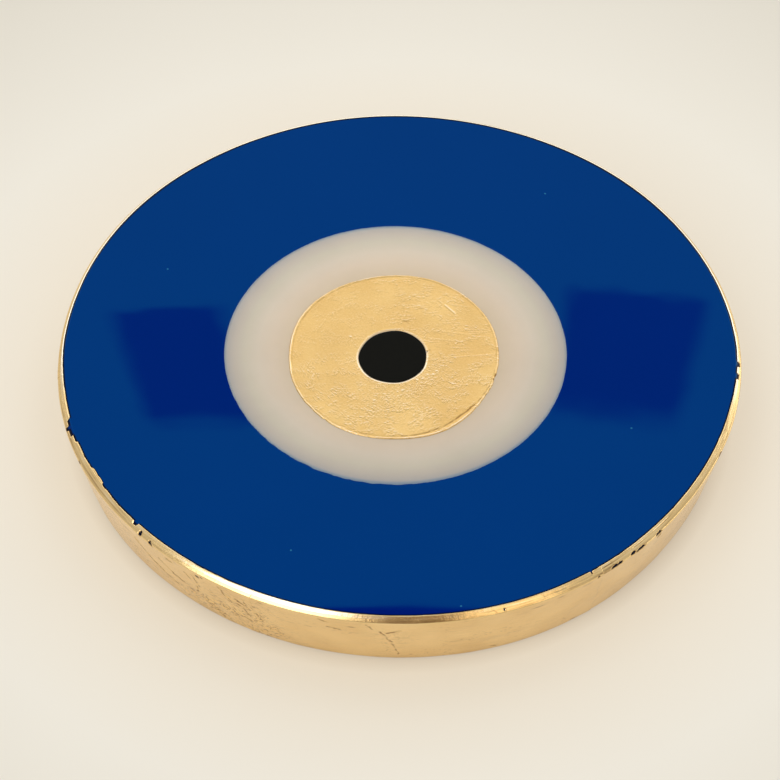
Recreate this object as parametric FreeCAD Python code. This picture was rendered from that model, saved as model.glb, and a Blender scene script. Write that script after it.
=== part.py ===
import FreeCAD, Part
import math
import os

# A round glass eye ornament that lies flat on its back. Sizes are in millimetres.
# The origin is the centre of the underside, and +Z points up through the eye.
# Its body is three layers of blue sheet glass, fused one on another. The top layer is a ring,
# and the white of the eye fills it. The black pupil is let into the white. Metal leaf covers
# the iris and the whole rim: the bevel round the face, the side and the round at its foot.

# Driving dimensions of the body, measured over the leaf
OUTER_R = 75.0              # at the shoulder, where the bevel meets the side
HEIGHT = 18.0               # underside to glass face
BASE_R = 70.7               # where the leaning side would meet the floor
BEVEL_WIDTH = 1.1           # bevel round the face, seen from above
BEVEL_DROP = 1.1            # bevel's height
FOOT_ROUND = 1.2            # round between the side and the underside
LAYERS = 3                  # sheets of glass in the height

# Leaf, thicker than real leaf so that it is a closed solid
RIM_LEAF = 0.2
IRIS_LEAF = 0.2
BEAD_R = 0.4                # raised bead along the iris leaf's two borders
FLOOR_GAP = 0.1             # the rim's leaf stops this far above the floor

# The eye, whose rings are all a little off centre
WHITE_R = 37.6              # at the face
WHITE_SEAT_R = 33.5         # at the foot of its sloping edge
WHITE_CENTRE = (-0.7, 0.4)
IRIS_R = 23.75
IRIS_CENTRE = (-1.1, -0.9)
PUPIL_R = 7.5
PUPIL_DEPTH = 3.0
PUPIL_ROUND = 1.0
PUPIL_CENTRE = (-1.3, -1.2)

LAYER_HEIGHT = HEIGHT / LAYERS
TOP_SEAM = HEIGHT - LAYER_HEIGHT
UP = FreeCAD.Vector(0, 0, 1)


def body(inset):
    """The whole body as one solid, with its bevel and side moved in by inset."""
    lean = (OUTER_R - BASE_R) / (HEIGHT - BEVEL_DROP)
    slope = BEVEL_WIDTH / BEVEL_DROP
    foot_r = BASE_R - inset * math.hypot(1, lean)
    face_r = OUTER_R - BEVEL_WIDTH - inset * math.hypot(1, slope)
    shoulder_z = (face_r + slope * HEIGHT - foot_r) / (lean + slope)
    shoulder_r = foot_r + lean * shoulder_z
    section = [(0, 0), (foot_r, 0), (shoulder_r, shoulder_z), (face_r, HEIGHT), (0, HEIGHT)]
    points = [FreeCAD.Vector(r, 0, z) for r, z in section]
    face = Part.Face(Part.makePolygon(points + points[:1]))
    solid = face.revolve(FreeCAD.Vector(), UP, 360)
    foot_edges = [edge for edge in solid.Edges if on_floor(edge)]
    return solid.makeFillet(FOOT_ROUND - inset, foot_edges)


def on_floor(edge):
    """True for the circle round the underside."""
    box = edge.BoundBox
    return box.ZMax < 1e-6 and box.XLength > BASE_R


def slab(low, high):
    """A block wider than the body, between two heights."""
    side = 3 * OUTER_R
    return Part.makeBox(side, side, high - low, FreeCAD.Vector(-side / 2, -side / 2, low))


def point(centre, z):
    return FreeCAD.Vector(centre[0], centre[1], z)


def bead(centre, radius):
    """The upper half of a ring of round section that lies on the glass face."""
    ring = Part.makeTorus(radius, BEAD_R, point(centre, HEIGHT), UP)
    return ring.common(slab(HEIGHT, HEIGHT + 2 * BEAD_R))


def white_blank():
    """The white of the eye before the pupil is let in: a disc with a sloping edge."""
    return Part.makeCone(WHITE_SEAT_R, WHITE_R, LAYER_HEIGHT, point(WHITE_CENTRE, TOP_SEAM), UP)


def pupil():
    dot = Part.makeCylinder(PUPIL_R, PUPIL_DEPTH, point(PUPIL_CENTRE, HEIGHT - PUPIL_DEPTH), UP)
    lower_edges = [edge for edge in dot.Edges if edge.BoundBox.ZMax < HEIGHT - PUPIL_DEPTH + 1e-6]
    return dot.makeFillet(PUPIL_ROUND, lower_edges)


def iris_leaf():
    """Leaf ring on the white, from the pupil outwards, with a bead along each border."""
    disc = Part.makeCylinder(IRIS_R - BEAD_R, IRIS_LEAF, point(IRIS_CENTRE, HEIGHT), UP)
    outer_bead = bead(IRIS_CENTRE, IRIS_R - BEAD_R)
    inner_bead = bead(PUPIL_CENTRE, PUPIL_R + BEAD_R)
    hole = Part.makeCylinder(PUPIL_R + BEAD_R, 2 * BEAD_R, point(PUPIL_CENTRE, HEIGHT), UP)
    return disc.cut(hole).fuse([outer_bead, inner_bead]).removeSplitter()


def edge_leaf(glass):
    """Leaf all round the rim, open over the face and under the base."""
    shell = body(0).cut(glass)
    return shell.common(slab(FLOOR_GAP, HEIGHT))


def build():
    """Every sub-part by its name."""
    glass = body(RIM_LEAF)
    white = white_blank()
    dot = pupil()
    return {
        "base_glass_disc": glass.common(slab(0, LAYER_HEIGHT)),
        "middle_glass_disc": glass.common(slab(LAYER_HEIGHT, TOP_SEAM)),
        "top_glass_ring": glass.common(slab(TOP_SEAM, HEIGHT)).cut(white),
        "white_glass_inlay": white.cut(dot),
        "black_glass_pupil": dot,
        "iris_gold_leaf": iris_leaf(),
        "edge_gold_leaf": edge_leaf(glass),
    }


os.makedirs("parts", exist_ok=True)
for name, shape in build().items():
    box = shape.optimalBoundingBox()
    print(f"{name}: {len(shape.Solids)} solid, valid {shape.isValid()}, {shape.Volume:.0f} mm3,"
          f" z {box.ZMin:.2f} to {box.ZMax:.2f}, width {box.XLength:.2f}")
    shape.exportStep(f"parts/{name}.step")
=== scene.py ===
import math

import bpy
import numpy as np
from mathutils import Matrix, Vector


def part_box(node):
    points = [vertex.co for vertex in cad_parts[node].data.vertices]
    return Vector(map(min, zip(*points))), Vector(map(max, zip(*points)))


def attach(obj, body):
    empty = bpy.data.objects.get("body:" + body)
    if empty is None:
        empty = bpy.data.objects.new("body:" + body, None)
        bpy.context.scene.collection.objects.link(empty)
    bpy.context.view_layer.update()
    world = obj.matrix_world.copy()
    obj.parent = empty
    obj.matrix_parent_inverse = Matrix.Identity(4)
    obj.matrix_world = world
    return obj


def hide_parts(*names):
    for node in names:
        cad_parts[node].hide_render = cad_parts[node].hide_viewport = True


# A round glass eye ornament: a thick disc of cobalt-blue glass with a white inlay, a black
# pupil, a gold-leaf iris and a gold-leafed rim. Lengths in this script are millimetres, and
# mesh_from_loops() turns them into metres. Angles run from +X towards +Y.

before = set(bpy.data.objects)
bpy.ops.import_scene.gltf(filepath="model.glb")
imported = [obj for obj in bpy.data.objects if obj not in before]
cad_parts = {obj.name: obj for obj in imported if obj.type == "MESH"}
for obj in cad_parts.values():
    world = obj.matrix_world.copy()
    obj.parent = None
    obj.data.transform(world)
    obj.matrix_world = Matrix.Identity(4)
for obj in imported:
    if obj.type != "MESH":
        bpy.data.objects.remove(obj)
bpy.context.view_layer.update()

MM = 0.001
TURN = 2 * math.pi


def in_mm(node):
    """Lowest and highest corner of a CAD node."""
    low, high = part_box(node)
    return np.array(low) / MM, np.array(high) / MM


def centre_and_radius(node):
    """Centre and radius of a round CAD node, seen from above."""
    low, high = in_mm(node)
    return (low + high)[:2] / 2, (high - low)[0] / 2


# Sizes from the frame
OUTER_R = in_mm("edge_gold_leaf")[1][0]
FACE_Z = in_mm("top_glass_ring")[1][2]
LAYER_SEAMS = [in_mm("middle_glass_disc")[0][2], in_mm("top_glass_ring")[0][2]]
WHITE_CENTRE, WHITE_R = centre_and_radius("white_glass_inlay")
IRIS_CENTRE, IRIS_R = centre_and_radius("iris_gold_leaf")
PUPIL_CENTRE, PUPIL_R = centre_and_radius("black_glass_pupil")
PUPIL_FLOOR = in_mm("black_glass_pupil")[0][2]
SEAT_Z = in_mm("white_glass_inlay")[0][2]

# No outline is a true circle: each has a mean radius and a few slow waves, given as
# (waves per turn, height, degrees of a peak). A separate program fitted most of these numbers to
# the outlines in the photograph. They were rounded, and a few were then changed.
MEAN_R = OUTER_R - 0.5
OUTLINE_WAVES = [(2, 0.19, 7), (3, 0.10, -9), (4, 0.18, 16), (5, 0.12, -3), (7, 0.08, -7)]
WHITE_WAVES = [(1, 0.13, 262), (2, 0.18, 99), (4, 0.04, 0)]
IRIS_WAVES = [(2, 0.54, 88), (3, 0.12, 41), (4, 0.10, 44), (5, 0.10, 5), (6, 0.04, 6), (7, 0.05, -10),
              (8, 0.04, -22)]
PUPIL_WAVES = [(2, 0.15, 66), (3, 0.07, -46), (7, 0.04, 25)]

# Section of the glass under the rim's leaf
BEVEL_WIDTH = 1.25
BEVEL_DROP = 1.1
BASE_INSET = 4.05          # how far the side leans in, down to the floor
ARRIS_R = 0.25             # rounds the edge between face and bevel
SHOULDER_R = 0.35
FOOT_R = 1.1
FACE_MARGIN = 1.5          # strip of the face that the section takes in
UNDER_MARGIN = 3.0         # strip of the underside that it takes in

# The eye
WHITE_SEAT_INSET = 4.1     # how far the white's edge slopes in
PUPIL_GAP = 0.02           # between the pupil and its pocket
PUPIL_PROUD = 0.02         # it stands this far above the face
PUPIL_FOOT_R = 1.0
PUPIL_ARRIS_R = 0.12
PUPIL_HOLLOW = 0.03

# Leaf, as heights above the glass
LEAF = 0.1
SUNK = -0.08               # where leaf is missing, it is hidden this far down
LEAF_BACK = -0.2
LEAF_BORDER = 1.42         # distance along the section at which the rim's leaf begins
BEHIND_BORDER = 0.7        # it begins this much later at the back


def waves(angle, table):
    """Sum of the waves in a table at each angle."""
    return sum(height * np.cos(count * (angle - math.radians(peak))) for count, height, peak in table)


def outline(angle):
    """Outer radius of the glass at the shoulder."""
    return MEAN_R - LEAF + waves(angle, OUTLINE_WAVES)


def turn_gap(angle, degrees):
    """Degrees from a direction, the short way and signed."""
    return (np.degrees(angle) - degrees + 180) % 360 - 180


def round_gap(angle, degrees):
    """Distance round the rim from a direction, the short way and signed."""
    return OUTER_R * np.radians(turn_gap(angle, degrees))


def facing(angle, degrees, half):
    """1 in a direction, falling to 0 on both sides of it."""
    return np.exp(-(turn_gap(angle, degrees) / half) ** 2)


# ---------------------------------------------------------------- noise

def noise(u, v, seed, period=256):
    """Gradient noise from about -1 to 1. It repeats along u after period cells."""
    directions = np.random.default_rng(seed).uniform(0, TURN, (period, 256))
    cell_u, cell_v = np.floor(u).astype(int), np.floor(v).astype(int)
    part_u, part_v = u - cell_u, v - cell_v

    def corner(step_u, step_v):
        direction = directions[(cell_u + step_u) % period, (cell_v + step_v) % 256]
        return np.cos(direction) * (part_u - step_u) + np.sin(direction) * (part_v - step_v)

    fade_u = part_u ** 3 * (part_u * (part_u * 6 - 15) + 10)
    fade_v = part_v ** 3 * (part_v * (part_v * 6 - 15) + 10)
    low = corner(0, 0) * (1 - fade_u) + corner(1, 0) * fade_u
    high = corner(0, 1) * (1 - fade_u) + corner(1, 1) * fade_u
    return 1.5 * (low * (1 - fade_v) + high * fade_v)


def fractal(u, v, seed, octaves=4, period=256):
    """Noise with finer and weaker noise added."""
    total = np.zeros(np.broadcast(u, v).shape)
    for octave in range(octaves):
        scale = 2 ** octave
        total += noise(u * scale, v * scale, seed + octave, period * scale) / scale
    return total


def noise_round(angle, count, seed, octaves=1):
    """Noise round a circle, with count cells to the turn."""
    return fractal(angle / TURN * count, 0.5 + 0 * angle, seed, octaves, count)


def crumple(u, v, seed, octaves=4):
    """Creased foil: sharp valleys between tilted facets, from about 0 to 1."""
    total = np.zeros(np.broadcast(u, v).shape)
    warp_u = u + 0.35 * noise(u * 0.9, v * 0.9, seed + 50)
    warp_v = v + 0.35 * noise(u * 0.9, v * 0.9, seed + 60)
    for octave in range(octaves):
        scale = 1.9 ** octave
        total += np.abs(noise(warp_u * scale, warp_v * scale, seed + octave)) / scale
    return total


def lines(u, v, seed, width, period=256):
    """1 along thin wandering lines, falling to 0 beside them."""
    return smooth(width, 0, np.abs(noise(u, v, seed, period)))


def smooth(low, high, value):
    """0 at low and 1 at high, with a soft start and end. low may be the higher of the two."""
    part = np.clip((value - low) / (high - low), 0, 1)
    return part * part * (3 - 2 * part)


def blob(x, y, centre, size):
    """1 at centre, falling to 0 over size."""
    return np.exp(-((x - centre[0]) / size[0]) ** 2 - ((y - centre[1]) / size[1]) ** 2)


def distance_to_line(x, y, points):
    """Shortest distance to a polyline."""
    nearest = np.full(np.broadcast(x, y).shape, 1e9)
    for (x0, y0), (x1, y1) in zip(points, points[1:]):
        length2 = (x1 - x0) ** 2 + (y1 - y0) ** 2
        along = np.clip(((x - x0) * (x1 - x0) + (y - y0) * (y1 - y0)) / length2, 0, 1)
        nearest = np.minimum(nearest, np.hypot(x - x0 - along * (x1 - x0), y - y0 - along * (y1 - y0)))
    return nearest


# ---------------------------------------------------------------- meshes

def mesh_from_loops(name, loops, joined=True, ends="open"):
    """A mesh from loops of points, in millimetres, as an array (loop, point, 3).
    Each loop is closed. joined ties the last loop to the first; ends "fan" closes the two end
    loops round a middle point, and "flat" with one face each."""
    loops = np.asarray(loops, float)
    count, around = loops.shape[:2]
    verts = loops.reshape(-1, 3)
    row = np.arange(count if joined else count - 1)
    col = np.arange(around)
    a = row[:, None] * around + col
    b = row[:, None] * around + (col + 1) % around
    c = (row[:, None] + 1) % count * around + (col + 1) % around
    d = (row[:, None] + 1) % count * around + col
    faces = np.stack([a, b, c, d], -1).reshape(-1, 4).tolist()
    if ends == "fan":
        verts = np.vstack([verts, loops[0].mean(0), loops[-1].mean(0)])
        first, last = count * around, count * around + 1
        base = (count - 1) * around
        faces += [[first, (i + 1) % around, i] for i in range(around)]
        faces += [[last, base + i, base + (i + 1) % around] for i in range(around)]
    if ends == "flat":
        faces.append(list(range(around))[::-1])
        faces.append(list(range((count - 1) * around, count * around)))
    mesh = bpy.data.meshes.new(name)
    mesh.from_pydata((verts * MM).tolist(), [], faces)
    mesh.validate()
    mesh.shade_smooth()
    mesh.update()
    piece = bpy.data.objects.new(name, mesh)
    bpy.context.scene.collection.objects.link(piece)
    return piece


def mark(piece, name, values):
    """Stores one number per point, for the piece's material to read."""
    piece.data.attributes.new(name, "FLOAT", "POINT").data.foreach_set("value", np.ravel(values))


def sharpen(piece, degrees=35):
    """Keeps edges sharper than this crisp."""
    piece.data.set_sharp_from_angle(angle=math.radians(degrees))


def place(piece, material, slot, *nodes):
    """Gives a piece its material, hangs it from the root body and hides the CAD nodes it stands for. slot
    is not used.
    """
    piece.data.materials.append(material)
    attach(piece, "root")
    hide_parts(*nodes)
    return piece


def ring_points(centre, radius, z, angle):
    """One loop round centre. radius and z may vary with the angle."""
    radius = np.broadcast_to(radius, angle.shape)
    z = np.broadcast_to(z, angle.shape)
    return np.stack([centre[0] + radius * np.cos(angle), centre[1] + radius * np.sin(angle), z], -1)


def fillet(before, corner, after, radius, steps=6):
    """Points of an arc that rounds a corner of a section."""
    before, corner, after = (np.array(p, float) for p in (before, corner, after))
    a = (before - corner) / np.linalg.norm(before - corner)
    b = (after - corner) / np.linalg.norm(after - corner)
    half = math.acos(np.clip(a @ b, -1, 1)) / 2
    tangent = radius / math.tan(half)
    middle = corner + (a + b) / np.linalg.norm(a + b) * radius / math.sin(half)
    start = corner + a * tangent - middle
    end = corner + b * tangent - middle
    sweep = math.acos(np.clip(start @ end / radius ** 2, -1, 1))
    shares = np.linspace(0, 1, steps + 1)
    return [middle + (math.sin((1 - t) * sweep) * start + math.sin(t * sweep) * end) / math.sin(sweep)
            for t in shares]


# ---------------------------------------------------------------- the rim's section

class Section:
    """The glass body's outside as a path: distance s along it, from the face over the bevel and
    down the side to the underside. Radii are measured from the outline."""

    def __init__(self):
        face = (-BEVEL_WIDTH, FACE_Z)
        shoulder = (0.0, FACE_Z - BEVEL_DROP)
        foot = (-BASE_INSET, 0.0)
        start = (-BEVEL_WIDTH - FACE_MARGIN, FACE_Z)
        end = (-BASE_INSET - UNDER_MARGIN, 0.0)
        points = [np.array(start)]
        points += fillet(start, face, shoulder, ARRIS_R)
        points += fillet(face, shoulder, foot, SHOULDER_R)
        points += fillet(shoulder, foot, end, FOOT_R)
        points.append(np.array(end))
        self.points = np.array(points)
        steps = np.linalg.norm(np.diff(self.points, axis=0), axis=1)
        self.s = np.concatenate([[0], np.cumsum(steps)])
        self.length = self.s[-1]

    def at(self, s):
        """Radius from the outline and height at s."""
        return np.interp(s, self.s, self.points[:, 0]), np.interp(s, self.s, self.points[:, 1])

    def normal(self, s, reach=0.12):
        """Outward direction at s, smoothed over a short reach."""
        r0, z0 = self.at(np.clip(s - reach, 0, self.length))
        r1, z1 = self.at(np.clip(s + reach, 0, self.length))
        length = np.hypot(r1 - r0, z1 - z0)
        return -(z1 - z0) / length, (r1 - r0) / length

    def s_at_height(self, z):
        """Distance along the path where the side is z high."""
        order = np.argsort(self.points[:, 1], kind="stable")
        return np.interp(z, self.points[order, 1], self.s[order])


SECTION = Section()


# ---------------------------------------------------------------- borders of the eye

def white_edge(angle):
    """Radius of the white inlay at the face: nearly round, and a little ragged in front."""
    ragged = 0.3 + facing(angle, 248, 38)
    fine = noise_round(angle, 130, 11, 3)
    return WHITE_R + waves(angle, WHITE_WAVES) + 0.12 * ragged * fine


def pupil_edge(angle):
    """Radius of the pupil."""
    return PUPIL_R + PUPIL_GAP + waves(angle, PUPIL_WAVES)


def iris_edge(angle):
    """Radius of the iris leaf: taller than wide, with a hand-cut border that is torn on the right."""
    torn = 0.35 + 1.3 * facing(angle, 336, 22) + 0.8 * facing(angle, 228, 14)
    fine = noise_round(angle, 110, 22, 3)
    return IRIS_R - 0.12 + waves(angle, IRIS_WAVES) + 0.1 * torn * fine


def iris_inside(angle):
    """Radius of the iris leaf's hole, which leaves a hair of white round the pupil."""
    slow = noise_round(angle, 9, 31)
    return pupil_edge(angle) + 0.08 + 0.05 * slow + 0.3 * facing(angle, 11, 1.6)


# ---------------------------------------------------------------- glass pieces

AROUND = 720               # points in a loop
SIDE_STEP = 0.6
LOOP = np.linspace(0, TURN, AROUND, endpoint=False)
ORIGIN = (0.0, 0.0)


def polish_waves(x, y):
    """Height of the slow waves that polishing leaves in the face. They fade out near the rim."""
    slow = 0.006 * fractal(x / 31 + 9, y / 31 + 9, 5, 2) + 0.0012 * noise(x / 6 + 9, y / 6 + 9, 7)
    return slow * smooth(MEAN_R - 3.2, MEAN_R - 16, np.hypot(x, y))


def on_face(loop):
    """Lifts a loop of points that lie on the face by the face's own waves."""
    loop[:, 2] += polish_waves(loop[:, 0], loop[:, 1])
    return loop


def outside_loop(s):
    """Loop of the glass body's outside at one place on its section."""
    r, z = SECTION.at(s)
    return ring_points(ORIGIN, outline(LOOP) + r, z, LOOP)


def glass_disc(name, s_top, s_bottom):
    """One whole layer of glass, closed above and below."""
    count = int(math.ceil((s_bottom - s_top) / SIDE_STEP)) + 1
    loops = [outside_loop(s) for s in np.linspace(s_top, s_bottom, count)]
    top, bottom = loops[0], loops[-1]
    inner_top = [top * (part, part, 1) for part in (0.3, 0.7, 0.96)]
    inner_bottom = [bottom * (part, part, 1) for part in (0.96, 0.7, 0.3)]
    piece = mesh_from_loops(name, (inner_top + loops + inner_bottom)[::-1], False, "fan")
    sharpen(piece)
    return piece


# Places on the section of the blue ring: its face ends, and the fine steps over the bevel end
FACE_END = 0.3
FINE_END = 3.5
FINE_STEP = 0.07
# Beside and under the rim's leaf the glass gets painted shade. That starts here, and sooner at the back
DARK_FROM = 1.09
DARK_SOONER = 0.42


def glass_ring():
    """The blue layer that shows: face, bevel and upper side, round the white's sloping seat."""
    edge = ring_points(WHITE_CENTRE, white_edge(LOOP), FACE_Z, LOOP)
    seat = ring_points(WHITE_CENTRE, WHITE_R - WHITE_SEAT_INSET, SEAT_Z, LOOP)
    rim = outside_loop(FACE_END)
    face = [on_face(edge * (1 - t) + rim * t) for t in np.linspace(0, 1, 46)]
    s_seam = SECTION.s_at_height(SEAT_Z)
    side_s = np.concatenate([np.arange(FACE_END + FINE_STEP, FINE_END, FINE_STEP),
                             np.linspace(FINE_END, s_seam, 12)])
    side = [outside_loop(s) for s in side_s]
    floor = [side[-1] * (1 - t) + seat * t for t in (0.3, 0.6)]
    loops = face + side + floor + [seat]
    # The mark is 1 where the glass gets painted shade: beside and under the rim's leaf, and under the
    # white.
    painted_shade_edge = np.zeros((len(loops), AROUND))
    late = rim_border(LOOP) - LEAF_BORDER
    dark_from = DARK_FROM + 0.69 * late - DARK_SOONER * smooth(0.1, 0.8, np.sin(LOOP))
    for row, s in enumerate(side_s, len(face)):
        painted_shade_edge[row] = smooth(-0.1, 0.1, s - dark_from)
    painted_shade_edge[len(face) + len(side):] = 1
    piece = mesh_from_loops("blue_glass_ring", loops[::-1])
    mark(piece, "edge", painted_shade_edge[::-1])
    sharpen(piece)
    return piece


def white_inlay():
    """The white glass, with the pocket for the pupil."""
    edge = ring_points(WHITE_CENTRE, white_edge(LOOP), FACE_Z, LOOP)
    pocket_top = ring_points(PUPIL_CENTRE, pupil_edge(LOOP), FACE_Z, LOOP)
    pocket_foot = ring_points(PUPIL_CENTRE, pupil_edge(LOOP), PUPIL_FLOOR, LOOP)
    pocket_floor = ring_points(PUPIL_CENTRE, 0.5, PUPIL_FLOOR, LOOP)
    seat = ring_points(WHITE_CENTRE, WHITE_R - WHITE_SEAT_INSET, SEAT_Z, LOOP)
    under = ring_points(PUPIL_CENTRE, 0.5, SEAT_Z, LOOP)
    face = [on_face(pocket_top * (1 - t) + edge * t) for t in np.linspace(0, 1, 40)]
    slope = [face[-1] * (1 - t) + seat * t for t in (0.25, 0.5, 0.75)]
    loops = [pocket_floor, pocket_foot] + face + slope + [seat, under]
    piece = mesh_from_loops("white_glass_inlay_disc", loops[::-1], False, "fan")
    sharpen(piece)
    return piece


def pupil_dot():
    """The black pupil: a dot with a rounded foot, very slightly hollow where it cooled."""
    angle = np.linspace(0, TURN, 360, endpoint=False)
    edge = pupil_edge(angle) - PUPIL_GAP
    top = FACE_Z + PUPIL_PROUD
    loops = [ring_points(PUPIL_CENTRE, radius, PUPIL_FLOOR, angle) for radius in (1, 3, 5)]
    for turn in np.linspace(0, math.pi / 2, 6):
        radius = edge - PUPIL_FOOT_R * (1 - math.sin(turn))
        height = PUPIL_FLOOR + PUPIL_FOOT_R * (1 - math.cos(turn))
        loops.append(ring_points(PUPIL_CENTRE, radius, height, angle))
    for turn in np.linspace(0, math.pi / 2, 5):
        radius = edge - PUPIL_ARRIS_R * (1 - math.cos(turn))
        height = top - PUPIL_ARRIS_R * (1 - math.sin(turn))
        loops.append(ring_points(PUPIL_CENTRE, radius, height, angle))
    for share in (0.9, 0.75, 0.55, 0.35, 0.15):
        height = top - PUPIL_HOLLOW * (1 - share ** 2)
        loops.append(ring_points(PUPIL_CENTRE, edge * share, height, angle))
    piece = mesh_from_loops("black_glass_pupil_dot", loops, False, "fan")
    sharpen(piece)
    return piece


# ---------------------------------------------------------------- iris leaf

IRIS_AROUND = 960
IRIS_RINGS = 100
IRIS_LIFT = 0.13

# Places on the iris are (x, y) from its centre. Some were picked in the photograph, turned into
# millimetres by a separate program and moved a little by hand.
SCRATCH = [(11.3, 15.0), (13.5, 12.5)]
DASH = [(1.8, 10.0), (3.2, 10.1)]
NICK = [(7.0, 1.3), (7.9, 1.6)]
LEVEL_LINE = [(11.0, -0.6), (16.0, -0.1), (22.0, 0.5)]
SLANT_LINES = [[(-14.0, 12.0), (-9.0, 16.0)], [(-17.0, 7.0), (-15.0, 10.5)], [(-12.0, -3.0), (-7.5, -1.0)],
               [(8.0, 5.0), (15.0, 4.2)], [(9.0, 7.4), (17.0, 6.2)], [(9.0, -4.0), (14.5, -4.4)]]
# Small bumps, each with a painted glint and painted shade beside it
GLINT_BUMPS = [(5.2, -7.0), (6.4, -6.6), (7.4, -5.6), (8.6, -5.4), (9.4, -4.4), (0.9, -10.4), (1.9, -10.1),
           (-4.2, -13.0), (12.8, -8.2), (-9.5, 5.5)]
# The groove inside the border: degrees, distance from the border, strength
GROOVE = [(0, 0.45, 0.2), (20, 0.5, 0.35), (60, 0.55, 0.3), (110, 0.6, 0.35), (150, 0.75, 0.5),
          (185, 0.55, 0.2), (205, 0.5, 0.1), (232, 0.6, 0.3), (262, 0.6, 0.4), (282, 0.8, 0.6),
          (294, 1.15, 1.0), (308, 1.3, 1.0), (318, 1.0, 0.9), (326, 0.5, 0.7), (345, 0.45, 0.3),
          (360, 0.45, 0.2)]


def stroke(x, y, points, width):
    """1 along a line, falling to 0 on both sides of it."""
    return np.exp(-(distance_to_line(x, y, points) / width) ** 2)


def iris_creases(x, y):
    """Depth of the leaf's creases, from 0 to 1: rings in front of the pupil, nearly level lines on the
    right, and crackled places."""
    angle, radius = np.arctan2(y, x), np.hypot(x, y)
    around = angle / TURN
    front = smooth(0.35, -0.7, np.sin(angle))
    right = smooth(-0.2, 0.6, np.cos(angle - math.radians(20)))
    patchy = smooth(-0.4, 0.4, fractal(x / 4 + 11, y / 3 + 11, 55, 2))
    dense = 0.12 + 0.8 * blob(x, y, (-0.5, -13.5), (9, 5)) + blob(x, y, (7.5, -7), (5, 4))
    rings = lines(around * 44, radius / 0.85, 41, 0.15, 44)
    rings += lines(around * 76, radius / 0.55, 42, 0.2, 76)
    level = lines(x / 3.4 + 20, y / 1.05 + 20, 44, 0.13)
    crackle = lines(x / 1.3 + 30, y / 0.95 + 30, 46, 0.16)
    crackle += 0.6 * lines(x / 0.8 + 30, y / 0.6 + 30, 47, 0.2)
    total = 0.6 * rings * (0.4 + 0.6 * front) * patchy + 0.5 * level * (0.2 + 0.8 * right) * patchy
    return np.clip(total + 0.6 * crackle * dense, 0, 1)


def iris_border(angle, to_edge, to_pupil):
    """Height and tone of the leaf's two borders: a raised bead, and a groove inside the outer one."""
    front = smooth(0.3, -0.6, np.sin(angle))
    degrees, inset, strength = np.array(GROOVE).T
    turn = np.degrees(angle) % 360
    inset = np.interp(turn, degrees, inset)
    strength = np.interp(turn, degrees, strength)
    broken = 0.8 + 0.6 * noise_round(angle, 90, 53)
    groove = strength * broken * np.exp(-((to_edge - inset) / 0.2) ** 2)
    uneven = 0.75 + 0.5 * noise_round(angle, 40, 52)
    ridge = uneven * np.exp(-((to_edge - 0.27) / 0.14) ** 2)
    lip = np.exp(-((to_pupil - 0.16) / 0.15) ** 2)
    dots = smooth(0.3, 0.5, noise_round(angle, 150, 57)) * facing(angle, 345, 20)
    height = 0.09 * ridge + 0.05 * lip - 0.09 * groove
    # Painted shade in the groove and along the outer edge; painted highlights on the bead and on the lip
    # round the pupil, brighter in front.
    tone = 1.3 * groove - 0.65 * ridge - (0.5 + 0.7 * front) * lip + 0.45 * np.exp(-(to_edge / 0.09) ** 2)
    tone += 1.4 * dots * np.exp(-((to_edge - 0.15) / 0.22) ** 2)
    return height, tone


def iris_marks(x, y, grain):
    """Height and tone of the single scratches, lines and glint bumps."""
    scratch = stroke(x, y, SCRATCH, 0.15)
    height = 0.05 * scratch - 0.05 * stroke(x, y, DASH, 0.18)
    height += 0.03 * stroke(x, y, LEVEL_LINE, 0.16)
    # The scratch and the slanting lines get a painted highlight along them and painted shade beside them,
    # the level line a faint painted highlight, and each glint bump a painted glint with painted shade
    # beside it. The dash and the nick are painted dark.
    tone = 0.6 * stroke(x, y, DASH, 0.14) + 0.8 * stroke(x, y, NICK, 0.12) - 0.6 * scratch
    tone += 0.5 * stroke(x + 0.2, y + 0.24, SCRATCH, 0.12) - 0.2 * stroke(x, y, LEVEL_LINE, 0.12)
    for line in SLANT_LINES:
        wander = 0.3 * grain
        height += 0.022 * stroke(x, y + wander, line, 0.15)
        tone += 0.2 * stroke(x, y + 0.25 + wander, line, 0.12) - 0.2 * stroke(x, y + wander, line, 0.12)
    for spot in GLINT_BUMPS:
        height += 0.03 * blob(x, y, spot, (0.22, 0.22))
        tone += 0.7 * blob(x, y + 0.3, spot, (0.2, 0.14)) - 0.9 * blob(x, y, spot, (0.24, 0.2))
    return height, tone


def iris_relief(x, y, angle, to_edge, to_pupil):
    """Height of the iris leaf above the white, and its tone: from -1 for a painted highlight to 1 for
    painted shade in a fold. Its dark marks raise the tone too."""
    crease = iris_creases(x, y)
    crest = iris_creases(x, y - 0.27)
    grain = fractal(x / 0.42, y / 0.34, 49, 2)
    slow = fractal(x / 7 + 5, y / 7 + 5, 47, 2)
    height = IRIS_LIFT + 0.02 * slow + 0.006 * grain - 0.035 * crease + 0.02 * crest
    # Creases get painted shade, and crest, the same creases moved a little, gets a painted highlight beside
    # each.
    tone = 0.8 * crease - 0.7 * crest + 0.09 * grain
    for more_height, more_tone in (iris_border(angle, to_edge, to_pupil), iris_marks(x, y, grain)):
        height += more_height
        tone += more_tone
    thin = np.clip(np.minimum(to_edge, to_pupil) / 0.12, 0, 1)
    return height * np.sqrt(1 - (1 - thin) ** 2), np.clip(tone, -1, 1)


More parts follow.
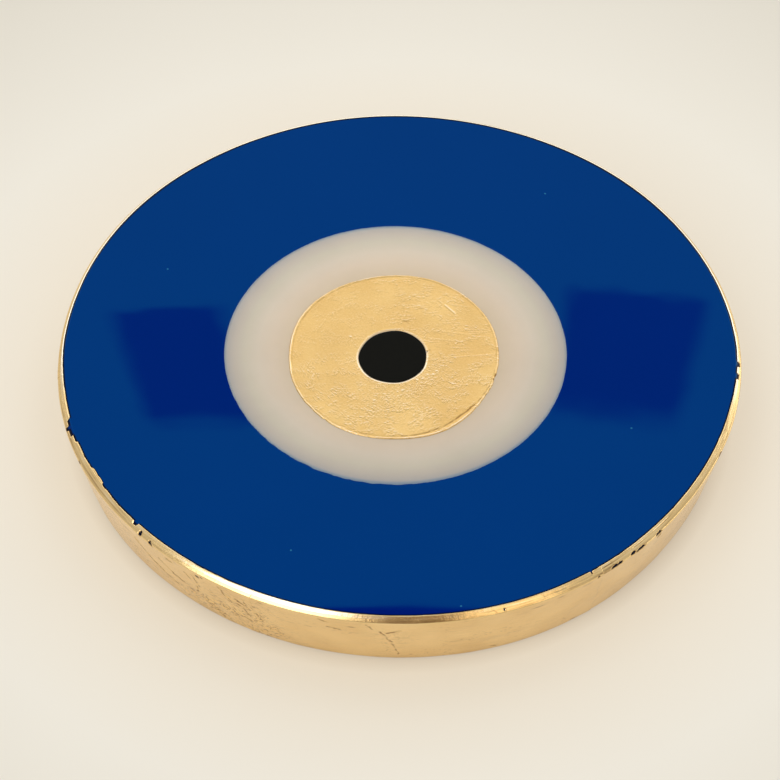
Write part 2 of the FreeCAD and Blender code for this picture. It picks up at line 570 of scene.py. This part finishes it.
def iris_leaf():
    """The gold ring on the white: a closed sheet with its wrinkles as real relief."""
    angle = np.linspace(0, TURN, IRIS_AROUND, endpoint=False)
    inner = ring_points(PUPIL_CENTRE, iris_inside(angle), 0, angle)[:, :2] - IRIS_CENTRE
    outer = ring_points(ORIGIN, iris_edge(angle), 0, angle)[:, :2]
    loops, tones = [], []
    for share in np.linspace(0, 1, IRIS_RINGS) ** 0.92:
        flat = inner * (1 - share) + outer * share
        direction = np.arctan2(flat[:, 1], flat[:, 0])
        to_edge = np.linalg.norm(outer - flat, axis=1)
        to_pupil = np.linalg.norm(flat - inner, axis=1)
        relief, tone = iris_relief(flat[:, 0], flat[:, 1], direction, to_edge, to_pupil)
        where = flat + IRIS_CENTRE
        z = FACE_Z + polish_waves(where[:, 0], where[:, 1]) + relief
        loops.append(np.column_stack([where, z]))
        tones.append(tone)
    for rim in (loops[-1], loops[0]):
        loops.append(rim * (1, 1, 0) + (0, 0, FACE_Z - 0.02))
        tones.append(np.zeros(IRIS_AROUND))
    piece = mesh_from_loops("iris_gold_leaf_ring", loops[::-1])
    mark(piece, "tone", tones[::-1])
    sharpen(piece, 50)
    return piece


# ---------------------------------------------------------------- rim leaf

SHEETS = 6
FIRST_SEAM = math.radians(244.6)
OVERLAP = 1.6              # of one sheet on the next
RIM_STEP = 0.17            # between points round the rim
BEVEL_STEP = 0.11          # between points down the bevel
BEVEL_END = 5.0            # place on the section where the coarser side begins
SIDE_POINTS = 76
BACK_POINTS = 9
LEAF_START = 0.8           # place on the section where a sheet's mesh begins
UNDER_END = 0.9            # how far it laps under the foot

# Places on the side are (degrees round, height). Many of the front's marks, here and in the lists
# below, were picked in the photograph, turned into degrees and millimetres by a separate program
# and moved a little by hand. The rest are by eye, and those at the back are made up.
CREASES = [
    [(239.6, 16.0), (240.8, 12.6), (241.8, 11.7), (243.1, 11.4), (243.9, 10.0), (244.8, 7.8)],
    [(242.4, 13.6), (243.3, 12.6), (244.1, 12.4)],
    [(244.2, 14.7), (244.8, 10.7)],
    [(246.0, 10.2), (246.9, 7.0)],
    [(241.5, 8.6), (243.0, 6.4), (244.6, 5.8)],
    [(234.2, 15.2), (235.0, 11.6), (234.2, 8.0)],
    [(232.6, 14.2), (233.6, 12.6)],
    [(235.4, 6.2), (237.0, 3.8), (239.0, 1.6)],
    [(267.2, 13.2), (268.3, 10.6), (269.1, 8.2), (269.5, 6.0), (270.2, 2.6)],
    [(268.4, 12.7), (270.6, 13.9)],
    [(265.0, 16.0), (265.9, 14.2)],
    [(257.2, 16.0), (258.6, 15.1)],
    [(286.0, 2.0), (287.0, 1.6)],
    [(221.0, 13.0), (224.5, 8.5), (229.5, 5.2)],
    [(226.5, 12.4), (229.5, 9.4), (231.5, 8.6)],
    [(258.5, 13.0), (260.6, 12.6)],
    [(229.0, 15.4), (230.0, 15.2)],
    [(12.0, 14.0), (15.0, 9.5), (15.6, 4.0)],
    [(96.0, 4.0), (99.0, 8.0), (104.5, 9.0)],
    [(99.0, 8.0), (98.0, 13.5)],
    [(168.0, 12.0), (171.0, 8.8), (176.0, 7.5)],
]
# Crinkled patches: degrees round, height, half length, half height, strength
PATCHES = [
    (243.0, 8.5, 7.5, 6.5, 1.0), (236.0, 5.0, 7.0, 4.5, 0.8), (247.5, 3.5, 4.0, 3.0, 0.8),
    (222.0, 6.0, 11.0, 4.0, 0.45), (30.0, 9.0, 10.0, 7.0, 0.8), (128.0, 7.0, 13.0, 6.0, 0.9),
    (188.0, 10.0, 8.0, 6.0, 0.6), (335.0, 9.0, 8.0, 4.0, 0.4), (75.0, 11.0, 7.0, 5.0, 0.7),
    (268.5, 9.0, 2.5, 5.0, 0.35),
]
# Chips that show the glass: degrees round, height, half length, half height, lean in degrees
CHIPS = [
    (223.0, 17.1, 0.4, 0.42, 0), (225.6, 16.7, 0.7, 0.36, -28), (235.4, 15.6, 0.42, 0.36, -20),
    (236.3, 16.1, 0.25, 0.25, 0), (304.5, 16.6, 0.3, 0.36, 0), (307.9, 16.85, 1.1, 0.3, 4),
    (309.0, 16.9, 0.6, 0.24, 4), (311.9, 17.0, 0.8, 0.22, 4), (313.6, 16.85, 1.3, 0.24, 4),
    (318.0, 16.8, 0.9, 0.32, 6), (318.4, 15.6, 0.6, 0.4, 25), (329.3, 15.8, 0.75, 0.36, 6),
    (338.0, 16.6, 1.2, 0.42, 4), (287.5, 17.3, 0.18, 0.2, 0), (204.6, 16.6, 0.7, 0.3, -20),
    (20.0, 16.0, 1.0, 0.35, -8), (62.0, 3.0, 0.8, 0.4, 10), (101.0, 16.4, 1.3, 0.4, 5),
    (140.0, 12.0, 0.5, 0.4, 30), (172.0, 16.4, 0.9, 0.35, 0),
]
# Rubbed places, brown rather than bare: degrees round, height, half length, half height
SMEARS = [
    (302.2, 16.1, 1.1, 0.35), (297.6, 15.9, 0.7, 0.25), (214.5, 15.0, 2.6, 0.3), (209.0, 14.6, 1.8, 0.4),
    (218.5, 14.0, 2.2, 0.25), (262.5, 14.4, 0.8, 0.25), (247.2, 16.2, 0.5, 0.3), (293.5, 15.2, 1.3, 0.2),
    (272.2, 2.2, 0.4, 0.22), (286.6, 1.7, 0.8, 0.2), (302.0, 0.9, 0.9, 0.3), (306.3, 16.9, 1.6, 0.25),
]
# Where the leaf stops short of the face or laps onto it: degrees, half width in degrees, mm
BORDER_STEPS = [
    (196.2, 0.8, 0.9), (197.9, 0.9, 1.15), (199.8, 0.8, 0.5), (221.1, 0.4, 0.75), (303.6, 0.22, 0.65),
    (355.3, 0.5, 0.6), (358.0, 0.45, 0.7), (208.6, 1.7, -0.4), (211.4, 0.8, 0.12),
]
# Fine scores along the bevel: degrees from, degrees to, distance below the face's edge, depth
SCORES = [
    (305.0, 322.0, 0.55, 0.12), (236.0, 262.0, 0.9, 0.03), (282.0, 300.0, 0.75, 0.04),
    (206.0, 220.0, 1.0, 0.05), (60.0, 85.0, 0.9, 0.05),
]


def rim_border(angle):
    """Where the leaf begins on the section. It laps onto the face in places, and falls short in
    others."""
    slow = noise_round(angle, 19, 71)
    fine = noise_round(angle, 190, 73, 3)
    wavy = noise_round(angle, 64, 78)
    loose = facing(angle, 214, 11) + 0.5 * facing(angle, 308, 7)
    degrees = turn_gap(angle, 90) + 90
    behind = smooth(-14, 2, degrees) * smooth(192, 176, degrees)
    border = LEAF_BORDER + BEHIND_BORDER * behind + 0.05 * slow
    border += 0.04 * fine * (1 + loose) + 0.2 * wavy * loose
    for degrees, half, step in BORDER_STEPS:
        away = np.abs(turn_gap(angle, degrees)) / half
        border += step * smooth(1.4, 0.8, away + 0.5 * fine)
    return border


def rim_crinkles(angle, s, z, on_bevel, seed):
    """Height and tone of the crinkled patches."""
    x = angle * OUTER_R
    creased = np.zeros_like(x)
    for degrees, level, length, tall, strength in PATCHES:
        creased += strength * blob(round_gap(angle, degrees), z, (0, level), (length, tall))
    ragged = 0.5 + smooth(-0.3, 0.4, fractal(x / 3, s / 3, seed + 13, 2))
    creased = (0.04 + np.clip(creased, 0, 1) * ragged) * (1 - 0.9 * on_bevel)
    foil = crumple(x / 2.1, s / 1.7, seed + 9, 4)
    cracks = lines(x / 1.7, s / 1.3, seed + 25, 0.12)
    beside = lines(x / 1.7, (s + 0.32) / 1.3, seed + 25, 0.12)
    # The foil's valleys and the cracks get painted shade, and its crests and a line beside each crack get
    # painted highlights.
    tone = creased * (0.9 * smooth(0.3, 0.12, foil) - 0.8 * smooth(0.62, 0.95, foil))
    tone += creased * (1.1 * cracks - 1.1 * beside)
    return 0.17 * creased * (foil - 0.45), tone


def rim_creases(angle, z, seed):
    """Height and tone of the single creases: a groove with painted shade, the leaf raised beside it, and a
    painted highlight line above it.
    """
    x = angle * OUTER_R
    height = np.zeros_like(x)
    tone = np.zeros_like(x)
    wander = 0.3 * fractal(x / 1.3, z / 1.3, seed + 17, 3)
    broken = 0.3 + 0.9 * smooth(-0.4, 0.3, fractal(x / 1.2, z / 1.2, seed + 19, 2))
    for line in CREASES:
        first = line[0][0]
        gap = round_gap(angle, first)
        if np.abs(gap).min() < 12:
            points = [(OUTER_R * math.radians(degrees - first), level) for degrees, level in line]
            away = distance_to_line(gap + wander, z + 0.5 * wander, points)
            above = distance_to_line(gap + wander, z - 0.42 + 0.5 * wander, points)
            height += 0.05 * np.exp(-((away - 0.38) / 0.2) ** 2) - 0.09 * np.exp(-(away / 0.18) ** 2)
            tone += 1.1 * broken * np.exp(-(away / 0.2) ** 2) - 0.7 * broken * np.exp(-(above / 0.2) ** 2)
    return height, tone


def rim_scores(angle, s, seed):
    """Height and tone of the fine scores along the bevel."""
    x = angle * OUTER_R
    height = np.zeros_like(x)
    tone = np.zeros_like(x)
    turn = np.degrees(angle) % 360
    for start, end, below, depth in SCORES:
        along = smooth(start, start + 1.5, turn) * (1 - smooth(end - 1.5, end, turn))
        along = along * (0.35 + 0.65 * smooth(-0.3, 0.2, noise(x / 2.6, 0.5 + 0 * x, seed + 23)))
        away = np.abs(s - FACE_MARGIN - below)
        score = along * np.exp(-(away / 0.1) ** 2)
        height -= depth * score
        # Each score gets painted shade, and painted highlights run along both sides of it.
        tone += 7 * depth * score - 5 * depth * along * np.exp(-((away - 0.27) / 0.1) ** 2)
    return height, tone


def rim_relief(angle, s, seed):
    """Height of the rim's leaf above the glass, and its tone: from -1 for a painted highlight to 1 for
    painted shade in a fold. Its dark marks and scuffs raise the tone too."""
    x = angle * OUTER_R
    _, z = SECTION.at(s)
    corner_z = FACE_Z - BEVEL_DROP
    on_bevel = smooth(corner_z - 0.25, corner_z + 0.1, z)
    on_side = 1 - on_bevel
    brushed = fractal(x / 6.5, s / 0.4, seed, 3)
    slow = fractal(x / 14, s / 6, seed + 5, 3)
    dimples = fractal(x / 1.1, s / 0.9, seed + 7, 2)
    height = LEAF + 0.045 * slow * on_side + 0.006 * brushed + 0.006 * dimples * on_side
    scuffed = smooth(0.1, 0.5, fractal(x / 8, s / 5, seed + 11, 2))
    tone = 0.1 * slow + 0.07 * brushed + 0.35 * scuffed * lines(x / 7, s / 1.4, seed + 8, 0.06)
    # Painted contact shadow: darker towards the foot, and darkest in its lowest part.
    tone += 0.16 * smooth(2.6, 0.4, z) + 0.6 * smooth(0.7, 0.3, z)
    # Painted shade on the bevel just above its corner with the side, and a painted highlight line along
    # that corner.
    tone += 0.3 * on_bevel * smooth(0.55, 0.2, z - corner_z) - 0.6 * np.exp(-((z - corner_z) / 0.12) ** 2)
    # Painted highlight on the bevel: pale at the back, and a bright patch at the front left.
    worn = smooth(-0.25, 0.05, np.sin(angle)) + 0.6 * facing(angle, 251, 13)
    tone += 0.25 * on_bevel * brushed - 1.15 * on_bevel * worn
    for more_height, more_tone in (rim_crinkles(angle, s, z, on_bevel, seed),
                                   rim_creases(angle, z, seed), rim_scores(angle, s, seed)):
        height += more_height
        tone += more_tone
    for degrees, level, length, tall in SMEARS:
        smear = blob(round_gap(angle, degrees), z, (0, level), (length, tall))
        tone += 0.9 * smear * (0.7 + brushed + 0.5 * dimples)
    return np.maximum(height, 0.03), np.clip(tone, -1, 1)


def chipped(angle, s):
    """Above 0 where the leaf is gone, in millimetres from the nearest whole leaf."""
    x = angle * OUTER_R
    _, z = SECTION.at(s)
    missing = rim_border(angle) - s
    rough = 0.3 * fractal(x / 0.5, s / 0.4, 91, 3)
    for degrees, level, length, tall, lean in CHIPS:
        lean = math.radians(lean)
        gap = round_gap(angle, degrees)
        along = gap * math.cos(lean) + (z - level) * math.sin(lean)
        across = (z - level) * math.cos(lean) - gap * math.sin(lean)
        inside = 1 - np.hypot(along / length, across / tall)
        missing = np.maximum(missing, 0.4 * (inside + rough * smooth(-1.5, 0, inside)))
    return missing


def rim_sheet(index):
    """One sheet of leaf on the rim. Its ends are torn, and one lies over the next sheet."""
    span = TURN / SHEETS
    first = FIRST_SEAM + index * span
    s_end = SECTION.length - UNDER_MARGIN + UNDER_END
    s_outer = np.concatenate([np.arange(LEAF_START, BEVEL_END, BEVEL_STEP),
                              np.linspace(BEVEL_END, s_end, SIDE_POINTS)])
    s_back = np.linspace(s_end, LEAF_START, BACK_POINTS)[1:-1]
    s_all = np.concatenate([s_outer, s_back])
    torn = 0.5 * fractal(s_all / 3, 0.5 + 0 * s_all, 100 + index, 4)
    torn_end = 0.5 * fractal(s_all / 3, 0.5 + 0 * s_all, 101 + index, 4)
    share = np.linspace(0, 1, int(span * OUTER_R / RIM_STEP))[:, None]
    start = first + torn / OUTER_R
    end = first + span + (torn_end + OVERLAP) / OUTER_R
    angle = start * (1 - share) + end * share
    s = np.broadcast_to(s_all, angle.shape)
    lift, tone = rim_relief(angle, s, 200 + 30 * index)
    from_end = (end - angle) * OUTER_R
    lift += 0.04 * smooth(3 * OVERLAP, OVERLAP, from_end)
    missing = chipped(angle, s)
    close_to_start = 0.2 - (angle - start) * OUTER_R
    missing = np.maximum(missing, np.maximum(close_to_start, 0.2 - from_end))
    lift = lift + (SUNK - lift) * smooth(-0.06, 0.06, missing)
    on_side = SECTION.at(s)[1] < FACE_Z - 0.5
    tone = np.where(on_side, np.maximum(tone, 0.8 * smooth(-0.1, -0.03, missing)), tone)
    lift[:, len(s_outer):] = LEAF_BACK
    r, z = SECTION.at(s)
    normal_r, normal_z = SECTION.normal(s)
    radius = outline(angle) + r + lift * normal_r
    height = np.maximum(z + lift * normal_z, 0.05)
    points = np.stack([radius * np.cos(angle), radius * np.sin(angle), height], -1)
    piece = mesh_from_loops(f"rim_leaf_sheet_{index + 1}", points, False, "flat")
    mark(piece, "tone", tone)
    return piece


# ---------------------------------------------------------------- materials

class Nodes:
    """Short way to build a node tree."""

    def __init__(self, tree):
        self.tree = tree
        tree.nodes.clear()

    def add(self, kind, inputs=None, **settings):
        """A new node. inputs may hold values or other nodes' outputs."""
        node = self.tree.nodes.new("ShaderNode" + kind)
        for key, value in settings.items():
            setattr(node, key, value)
        for key, value in (inputs or {}).items():
            if isinstance(value, bpy.types.NodeSocket):
                self.tree.links.new(value, node.inputs[key])
            else:
                node.inputs[key].default_value = value
        return node

    def math(self, operation, a, b=0.0, c=0.0):
        return self.add("Math", {0: a, 1: b, 2: c}, operation=operation).outputs[0]

    def mix(self, share, a, b, blend="MIX"):
        node = self.add("Mix", {"Factor": share}, data_type="RGBA", blend_type=blend)
        for socket, value in ((node.inputs[6], a), (node.inputs[7], b)):
            if isinstance(value, bpy.types.NodeSocket):
                self.tree.links.new(value, socket)
            else:
                socket.default_value = value
        return node.outputs[2]

    def ramp(self, value, stops):
        node = self.add("ValToRGB", {0: value})
        elements = node.color_ramp.elements
        while len(elements) < len(stops):
            elements.new(0.5)
        for element, (position, colour) in zip(elements, stops):
            element.position = position
            element.color = colour
        return node.outputs[0]

    def noise(self, where, scale, detail=3.0, rough=0.5):
        return self.add("TexNoise", {"Vector": where, "Scale": scale, "Detail": detail,
                                     "Roughness": rough}).outputs[0]

    def bump(self, height, distance, strength=1.0):
        return self.add("Bump", {"Height": height, "Distance": distance,
                                 "Strength": strength}).outputs[0]


def srgb(red, green, blue):
    """A linear colour from 8-bit sRGB values."""
    def linear(value):
        value /= 255
        return value / 12.92 if value <= 0.04045 else ((value + 0.055) / 1.055) ** 2.4
    return linear(red), linear(green), linear(blue), 1.0


def material(name):
    """A new material, its node tree and the place on the object."""
    made = bpy.data.materials.new(name)
    made.use_nodes = True
    nodes = Nodes(made.node_tree)
    where = nodes.add("TexCoord").outputs["Object"]
    return made, nodes, where


def finish_material(nodes, inputs):
    shader = nodes.add("BsdfPrincipled", inputs)
    nodes.add("OutputMaterial", {"Surface": shader.outputs[0]})


def distance_from(nodes, where, centre):
    """Distance in metres from an upright axis."""
    moved = nodes.add("VectorMath", {0: where, 1: (centre[0] * MM, centre[1] * MM, 0)},
                      operation="SUBTRACT").outputs[0]
    flat = nodes.add("VectorMath", {0: moved, 1: (1, 1, 0)}, operation="MULTIPLY").outputs[0]
    return nodes.add("VectorMath", {0: flat}, operation="LENGTH").outputs["Value"]


# Tiny bubbles near the surface of the blue glass. The first three were found as the leaf's marks
# were, and the last two are made up.
SPECKS = [(-51.6, 24.6), (50.2, -21.4), (13.2, -70.2), (33.0, 48.5), (-22.4, -55.6)]
SPECK_R = 0.22


def blue_glass():
    made, nodes, where = material("blue_glass")
    cloud = nodes.noise(where, 38, 2)
    colour = nodes.mix(cloud, (0.0, 0.0072, 0.167, 1), (0.0, 0.0092, 0.180, 1))
    # The edge attribute paints shade: the glass goes near black beside and under the rim's leaf.
    edge = nodes.add("Attribute", attribute_name="edge").outputs["Fac"]
    colour = nodes.mix(edge, colour, (0.002, 0.005, 0.018, 1))
    for speck in SPECKS:
        near = nodes.math("LESS_THAN", distance_from(nodes, where, speck), SPECK_R * MM)
        colour = nodes.mix(near, colour, (0.02, 0.12, 0.30, 1))
    smear = nodes.noise(where, 14, 4)
    roughness = nodes.math("MULTIPLY_ADD", smear, 0.02, 0.004)
    tint = nodes.mix(edge, (0.0, 9.0, 12.0, 1), (1.0, 0.8, 1.0, 1))
    finish_material(nodes, {
        "Base Color": colour, "Roughness": roughness, "IOR": 1.5,
        "Specular IOR Level": 0.05, "Specular Tint": tint,
    })
    return made


def white_glass():
    made, nodes, where = material("white_glass")
    radius = distance_from(nodes, where, WHITE_CENTRE)
    share = nodes.math("MULTIPLY", radius, 1 / (WHITE_R * MM))
    colour = nodes.ramp(share, [
        (0.62, srgb(203, 187, 166)), (0.72, srgb(207, 193, 177)), (0.80, srgb(204, 194, 181)),
        (0.88, srgb(194, 188, 175)), (0.94, srgb(183, 176, 169)), (0.98, srgb(170, 167, 166)),
        (1.0, srgb(122, 140, 162))])
    # Painted shade: the white is darker towards the front, and cloud carries this along with its mottle.
    shade_to_front = nodes.math("MULTIPLY_ADD", nodes.add("SeparateXYZ", {0: where}).outputs["Y"], 2.3, 0.95)
    cloud = nodes.math("MULTIPLY_ADD", nodes.noise(where, 75, 4, 0.6), 0.14, shade_to_front)
    colour = nodes.mix(1.0, colour, cloud, "MULTIPLY")
    smear = nodes.noise(where, 14, 4)
    roughness = nodes.math("MULTIPLY_ADD", smear, 0.04, 0.05)
    finish_material(nodes, {
        "Base Color": colour, "Roughness": roughness, "IOR": 1.5,
        "Subsurface Weight": 0.25, "Subsurface Radius": (1.0, 0.8, 0.6),
        "Subsurface Scale": 0.003,
    })
    return made


def black_glass():
    made, nodes, where = material("black_glass")
    speckle = nodes.noise(where, 900, 3)
    colour = nodes.mix(speckle, srgb(5, 6, 4), srgb(11, 12, 8))
    roughness = nodes.math("MULTIPLY_ADD", nodes.noise(where, 200, 3), 0.1, 0.3)
    finish_material(nodes, {
        "Base Color": colour, "Roughness": roughness, "IOR": 1.45, "Specular IOR Level": 0.07,
    })
    return made


def gold_leaf(name, low, high, dark, rough, brushed):
    """Gold leaf: patches of slightly different tone, fine grain, brushed lines and an uneven shine.
    dark is the colour of the painted shade in its folds and of its dark marks. brushed gives the vector in
    which the brush lines are bands."""
    made, nodes, where = material(name)
    patches = nodes.noise(where, 90, 4)
    colour = nodes.mix(nodes.ramp(patches, [(0.35, (0, 0, 0, 1)), (0.65, (1, 1, 1, 1))]), low, high)
    grain = nodes.noise(where, 2600, 3)
    colour = nodes.mix(nodes.math("MULTIPLY", grain, 0.3), colour, srgb(250, 222, 160))
    tone = nodes.add("Attribute", attribute_name="tone").outputs["Fac"]
    # The tone attribute mixes in dark above 0, for painted shade and dark marks, and a pale colour below 0,
    # for painted highlights.
    colour = nodes.mix(nodes.math("MULTIPLY", tone, 0.85), colour, dark)
    colour = nodes.mix(nodes.math("MULTIPLY", tone, -0.95), colour, srgb(255, 249, 236))
    patch = nodes.noise(where, 160, 4)
    roughness = nodes.math("MULTIPLY_ADD", patch, 0.2, rough)
    bands = nodes.noise(brushed(nodes, where), 1.0, 4, 0.6)
    fine = nodes.noise(where, 3300, 2, 0.6)
    coarse = nodes.noise(where, 1100, 3, 0.6)
    relief = nodes.math("MULTIPLY_ADD", coarse, 1.5, fine)
    relief = nodes.math("MULTIPLY_ADD", bands, 1.5, relief)
    finish_material(nodes, {
        "Base Color": colour, "Metallic": 1.0, "Roughness": roughness,
        "Normal": nodes.bump(relief, 0.00003, 0.5),
    })
    return made


def along_rim(nodes, where):
    """Bands that run round the rim."""
    return nodes.add("VectorMath", {0: where, 1: (110, 110, 2600)}, operation="MULTIPLY").outputs[0]


def round_iris(nodes, where):
    """Bands that run round the iris."""
    radius = distance_from(nodes, where, IRIS_CENTRE)
    across = nodes.math("MULTIPLY", radius, 2600.0)
    slow = nodes.add("VectorMath", {0: where, 1: (260, 260, 0)}, operation="MULTIPLY").outputs[0]
    shift = nodes.add("CombineXYZ", {"Z": across}).outputs[0]
    return nodes.add("VectorMath", {0: slow, 1: shift}, operation="ADD").outputs[0]


# ---------------------------------------------------------------- the pieces

BLUE = blue_glass()
WHITE = white_glass()
BLACK = black_glass()
IRIS_GOLD = gold_leaf("iris_gold", srgb(224, 183, 114), srgb(233, 196, 129), (0.26, 0.135, 0.04, 1), 0.28,
                      round_iris)
RIM_GOLD = gold_leaf("rim_gold", srgb(236, 203, 146), srgb(246, 216, 161), (0.2, 0.09, 0.025, 1), 0.1,
                     along_rim)

place(glass_ring(), BLUE, "blue_glass", "top_glass_ring")
upper_seam, lower_seam = (SECTION.s_at_height(z) for z in LAYER_SEAMS[::-1])
place(glass_disc("middle_blue_glass", upper_seam, lower_seam), BLUE, "blue_glass", "middle_glass_disc")
underside = SECTION.length - UNDER_MARGIN
place(glass_disc("base_blue_glass", lower_seam, underside), BLUE, "blue_glass", "base_glass_disc")
place(white_inlay(), WHITE, "white_glass", "white_glass_inlay")
place(pupil_dot(), BLACK, "black_glass", "black_glass_pupil")
place(iris_leaf(), IRIS_GOLD, "gold_leaf", "iris_gold_leaf")
for sheet in range(SHEETS):
    place(rim_sheet(sheet), RIM_GOLD, "gold_leaf", "edge_gold_leaf")


# ---------------------------------------------------------------- floor, light and camera

TABLE_HALF = 4.0           # metres


def table_top():
    """A plain cream table, with a painted contact shadow round the disc's foot, a faint painted warm
    bounce light beside it and painted shade far from it. It glows with its own colour as well.
    """
    mesh = bpy.data.meshes.new("table_top")
    corners = [(-1, -1), (1, -1), (1, 1), (-1, 1)]
    mesh.from_pydata([(x * TABLE_HALF, y * TABLE_HALF, 0) for x, y in corners], [], [(0, 1, 2, 3)])
    floor = bpy.data.objects.new("table_top", mesh)
    bpy.context.scene.collection.objects.link(floor)
    made, nodes, where = material("table_cream")
    mottle = nodes.noise(where, 9, 2)
    colour = nodes.mix(mottle, (0.33, 0.316, 0.284, 1), (0.338, 0.325, 0.295, 1))
    # The ramp paints light on the table: a contact shadow at the foot, warm bounce light beside it and
    # shade far away.
    around = nodes.ramp(distance_from(nodes, where, ORIGIN), [
        (0.0698, (0.8, 0.72, 0.62, 1)), (0.0712, (1.0, 0.94, 0.86, 1)), (0.085, (1.02, 0.985, 0.94, 1)),
        (0.11, (1, 1, 1, 1)), (0.17, (0.86, 0.855, 0.84, 1))])
    colour = nodes.mix(1.0, colour, around, "MULTIPLY")
    finish_material(nodes, {"Base Color": colour, "Roughness": 0.75, "Specular IOR Level": 0.1,
                            "Emission Color": colour, "Emission Strength": 1.53})
    floor.data.materials.append(made)


def studio_world():
    """An even, warm room with plain soft panels of light, and a few dim ones that the glass mirrors.
    Directions are degrees to the right of straight in front or behind, and degrees up."""
    world = bpy.data.worlds.new("studio")
    world.use_nodes = True
    bpy.context.scene.world = world
    nodes = Nodes(world.node_tree)
    where = nodes.add("TexCoord").outputs["Generated"]
    axes = nodes.add("SeparateXYZ", {0: where}).outputs
    level = nodes.math("DEGREES", nodes.math("ARCSINE", axes["Z"]))
    front = nodes.math("DEGREES", nodes.math("ARCTAN2", axes["X"], nodes.math("MULTIPLY", axes["Y"], -1.0)))
    back = nodes.math("DEGREES", nodes.math("ARCTAN2", axes["X"], axes["Y"]))

    def step(value, edge, soft):
        return nodes.add("MapRange", {"Value": value, "From Min": edge - soft, "From Max": edge + soft},
                         interpolation_type="SMOOTHSTEP").outputs[0]

    def inside(side, left, right, low, high, soft, heights=None, lean=0.0):
        """1 inside a soft rectangle of the room. heights holds the softness of its lower and upper
        edge, and lean is how far it moves sideways per degree of height."""
        low_soft, high_soft = heights or (soft, soft)
        moved = nodes.math("MULTIPLY_ADD", nodes.math("SUBTRACT", level, low), -lean, side)
        width = nodes.math("SUBTRACT", step(moved, left, soft), step(moved, right, soft))
        height = nodes.math("SUBTRACT", step(level, low, low_soft), step(level, high, high_soft))
        return nodes.math("MULTIPLY", width, height)

    def panel(strength, share, brightness):
        """The room's strength with one panel in it."""
        return nodes.math("MULTIPLY_ADD", share, nodes.math("SUBTRACT", brightness, strength), strength)

    beside_camera = inside(front, -17, 19, 22, 72, 1.5)
    right_light = inside(front, 21, 50, 24, 62, 2.5)
    left_light = inside(front, -62, -17, 24, 66, 2.5)
    low_light_behind = inside(back, -60, 45, 10, 42, 4.0)
    high_light_right = inside(back, 22, 42, 43, 62, 2.0)
    high_light_left = inside(back, -46, -24, 46, 66, 2.0)
    wall_behind = inside(back, -15, 15, 43, 53, 2.0)
    low_light_right = inside(back, 30, 110, -4, 10, 3.0)
    left_screen = inside(back, -6.1, -3.8, 47.65, 49.25, 0.3, (0.08, 0.12), 0.4)
    right_screen = inside(back, 3.6, 6.5, 47.4, 49.15, 0.25, (0.08, 0.3), -0.2)
    dark_above = inside(back, -3, 3, 51.99, 61, 0.02)
    strength = nodes.math("MULTIPLY_ADD", axes["Z"], 0.1, 0.62)
    for share, brightness in [
            (beside_camera, 0.22), (left_light, 2.9), (right_light, 1.5), (low_light_behind, 1.5),
            (high_light_right, 2.6), (high_light_left, 2.0), (wall_behind, 0.85), (low_light_right, 2.2),
            (left_screen, 0.24), (right_screen, 0.26), (dark_above, 0.04)]:
        strength = panel(strength, share, brightness)
    colour = nodes.ramp(axes["Z"], [(0.0, (0.96, 0.90, 0.78, 1)), (0.5, (1.0, 0.97, 0.90, 1)),
                                    (1.0, (1.0, 0.99, 0.95, 1))])
    colour = nodes.mix(beside_camera, colour, (1.0, 0.72, 0.48, 1))
    colour = nodes.mix(right_light, colour, (1.0, 0.84, 0.62, 1))
    background = nodes.add("Background", {"Color": colour, "Strength": strength})
    nodes.add("OutputWorld", {"Surface": background.outputs[0]})


# Distance and target are in radii of the disc, angles in degrees, lens and sensor in millimetres.
# A separate program fitted them to the outlines in the photograph, for this lens, which was assumed.
CAMERA_DISTANCE = 11.931
CAMERA_ELEVATION = 49.12
CAMERA_ROLL = 0.156
CAMERA_TARGET = (-0.0256, 0.0652, 0)
CAMERA_LENS = 184.6
CAMERA_SENSOR = 36


def camera():
    """Looks down at the disc from in front, from about twelve radii away."""
    unit = MEAN_R * MM
    distance = CAMERA_DISTANCE * unit
    elevation = math.radians(CAMERA_ELEVATION)
    target = Vector(CAMERA_TARGET) * unit
    data = bpy.data.cameras.new("camera")
    data.sensor_width = CAMERA_SENSOR
    data.lens = CAMERA_LENS
    data.clip_end = 50
    eye = bpy.data.objects.new("camera", data)
    eye.location = (0, -distance * math.cos(elevation), distance * math.sin(elevation))
    aim = (target - eye.location).to_track_quat("-Z", "Y")
    eye.rotation_euler = aim.to_euler()
    eye.rotation_euler.rotate_axis("Z", math.radians(CAMERA_ROLL))
    bpy.context.scene.collection.objects.link(eye)
    bpy.context.scene.camera = eye


table_top()
studio_world()
camera()
bpy.context.scene.view_settings.view_transform = "Standard"
